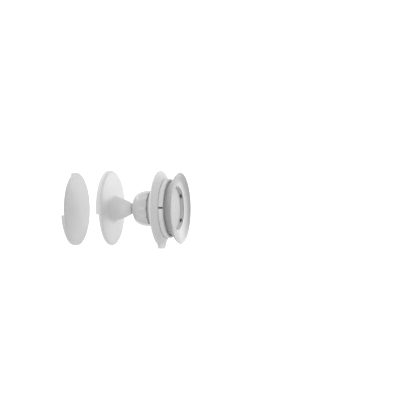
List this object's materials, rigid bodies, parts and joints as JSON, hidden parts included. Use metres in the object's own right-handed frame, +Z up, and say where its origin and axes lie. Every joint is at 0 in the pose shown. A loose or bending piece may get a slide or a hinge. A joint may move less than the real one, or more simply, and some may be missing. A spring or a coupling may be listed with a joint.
{
  "type": "phone wall mount",
  "caption": "Phone wall mount shown apart: adhesive wall plate, clip-on base with a ball stem, fluted collar, lever ring and a soft flared dish that seats a phone case.",
  "frame": {"origin": "middle of the adhesive wall face", "axes": "+X out of the wall along the stem, +Z up, thumb tab at the bottom, index mark on the -Y side"},
  "size_m": [0.092, 0.0622, 0.0636],
  "materials": {
    "plate_plastic": "satin",
    "foam_pad": "matte",
    "keeper_paint": "satin",
    "base_plastic": "satin",
    "cover_plastic": "matte",
    "magnet_plating": "satin",
    "zinc_steel": "satin",
    "ball_plastic": "satin",
    "liner_plastic": "matte",
    "cup_plastic": "matte",
    "collar_plastic": "satin",
    "housing_plastic": "matte",
    "lever_plastic": "fine grain",
    "cam_plastic": "matte",
    "spring_steel": "satin",
    "neck_plastic": "fine grain",
    "mark_black": "matte",
    "seat_plastic": "satin",
    "pawl_zinc": "satin",
    "floor_plastic": "satin",
    "dish_silicone": "satin"
  },
  "bodies": {
    "wall": {"wall_plate": "plate_plastic", "adhesive_pad": "foam_pad", "keeper_disc": "keeper_paint"},
    "arm": {"base_shell": "base_plastic", "base_back_cover": "cover_plastic", "dock_magnet": "magnet_plating", "stem_bolt": "zinc_steel", "ball": "ball_plastic"},
    "ball_liner": {"ball_liner": "liner_plastic"},
    "pressure_cup": {"pressure_cup": "cup_plastic"},
    "head": {"head_core": "housing_plastic", "return_spring": "spring_steel", "neck_ring": "neck_plastic", "index_mark": "mark_black", "lock_ring": "seat_plastic", "ring_screws": "zinc_steel", "lock_disc": "floor_plastic", "centre_screw": "zinc_steel", "dish": "dish_silicone"},
    "collar": {"collar_nut": "collar_plastic"},
    "lever": {"lever_ring": "lever_plastic", "cam_ring": "cam_plastic"},
    "pawl_1": {"pawl_1": "pawl_zinc"},
    "pawl_2": {"pawl_2": "pawl_zinc"},
    "pawl_3": {"pawl_3": "pawl_zinc"},
    "pawl_4": {"pawl_4": "pawl_zinc"}
  },
  "joints": [
    {"name": "base_dock", "type": "slide", "parent": "wall", "child": "arm", "axis": [1, 0, 0], "range_m": [-0.02895, 0]},
    {"name": "ball_pan", "type": "hinge", "parent": "arm", "child": "ball_liner", "pos_m": [0.06236, 0, 0], "axis": [0, 0, 1], "range_deg": [-11, 11]},
    {"name": "ball_tilt", "type": "hinge", "parent": "ball_liner", "child": "pressure_cup", "pos_m": [0.06236, 0, 0], "axis": [0, 1, 0], "range_deg": [-11, 11]},
    {"name": "ball_roll", "type": "hinge", "parent": "pressure_cup", "child": "head", "pos_m": [0.06236, 0, 0], "axis": [1, 0, 0], "range_deg": [-180, 180]},
    {"name": "collar_turn", "type": "hinge", "parent": "head", "child": "collar", "pos_m": [0.06236, 0, 0], "axis": [-1, 0, 0], "range_deg": [0, 90]},
    {"name": "lever_turn", "type": "hinge", "parent": "head", "child": "lever", "pos_m": [0.06236, 0, 0], "axis": [1, 0, 0], "range_deg": [0, 22], "stiffness_Nm_per_rad": 0.02, "springref_deg": -22.92},
    {"name": "pawl_1_slide", "type": "slide", "parent": "head", "child": "pawl_1", "axis": [0, 0.8141, 0.5807], "range_m": [0, 0.0013]},
    {"name": "pawl_2_slide", "type": "slide", "parent": "head", "child": "pawl_2", "axis": [0, -0.8141, 0.5807], "range_m": [0, 0.0013]},
    {"name": "pawl_3_slide", "type": "slide", "parent": "head", "child": "pawl_3", "axis": [0, -0.8141, -0.5807], "range_m": [0, 0.0013]},
    {"name": "pawl_4_slide", "type": "slide", "parent": "head", "child": "pawl_4", "axis": [0, 0.8141, -0.5807], "range_m": [0, 0.0013]}
  ],
  "couplings": [
    {"joint": "pawl_1_slide", "follows": "lever_turn", "m_per_rad": 0.0033854},
    {"joint": "pawl_2_slide", "follows": "lever_turn", "m_per_rad": 0.0033854},
    {"joint": "pawl_3_slide", "follows": "lever_turn", "m_per_rad": 0.0033854},
    {"joint": "pawl_4_slide", "follows": "lever_turn", "m_per_rad": 0.0033854}
  ]
}
